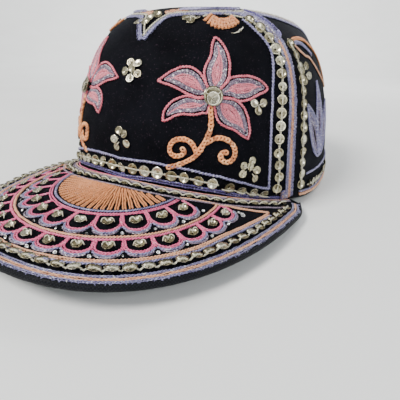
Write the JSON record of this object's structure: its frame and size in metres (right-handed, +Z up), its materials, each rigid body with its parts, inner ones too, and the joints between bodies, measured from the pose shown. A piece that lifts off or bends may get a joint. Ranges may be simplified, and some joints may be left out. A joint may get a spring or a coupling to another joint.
{
  "type": "embroidered peaked cap",
  "caption": "Black velvet cap with a stiff curved peak, lilac and peach braids over its seams and strings of cup sequins round its panels.",
  "frame": {"origin": "centre of the bounding box's underside, on the surface that the cap rests on", "axes": "+Z up through the crown, -Y towards the peak, +X towards the wearer's left"},
  "size_m": [0.1734, 0.2854, 0.1082],
  "materials": {
    "velvet": "soft pile",
    "bias_binding": "woven matt",
    "lilac_thread": "metallic thread sheen",
    "peach_thread": "chain-stitched satin",
    "cup_sequin": "metallised gloss"
  },
  "bodies": {
    "root": {"crown_front_panel": "velvet", "crown_side_panel_left": "velvet", "crown_side_panel_right": "velvet", "crown_top_panel": "velvet", "peak": "velvet", "peak_binding": "bias_binding", "front_seam_braid_left": "lilac_thread", "front_seam_braid_right": "lilac_thread", "top_seam_braid_left": "lilac_thread", "top_seam_braid_right": "lilac_thread", "top_point_braid": "lilac_thread", "crown_edge_cord": "peach_thread", "peak_edge_braid": "peach_thread", "front_border_sequins": "cup_sequin", "side_border_sequins_left": "cup_sequin", "side_border_sequins_right": "cup_sequin", "peak_root_sequins": "cup_sequin", "peak_edge_sequins": "cup_sequin"}
  },
  "joints": []
}
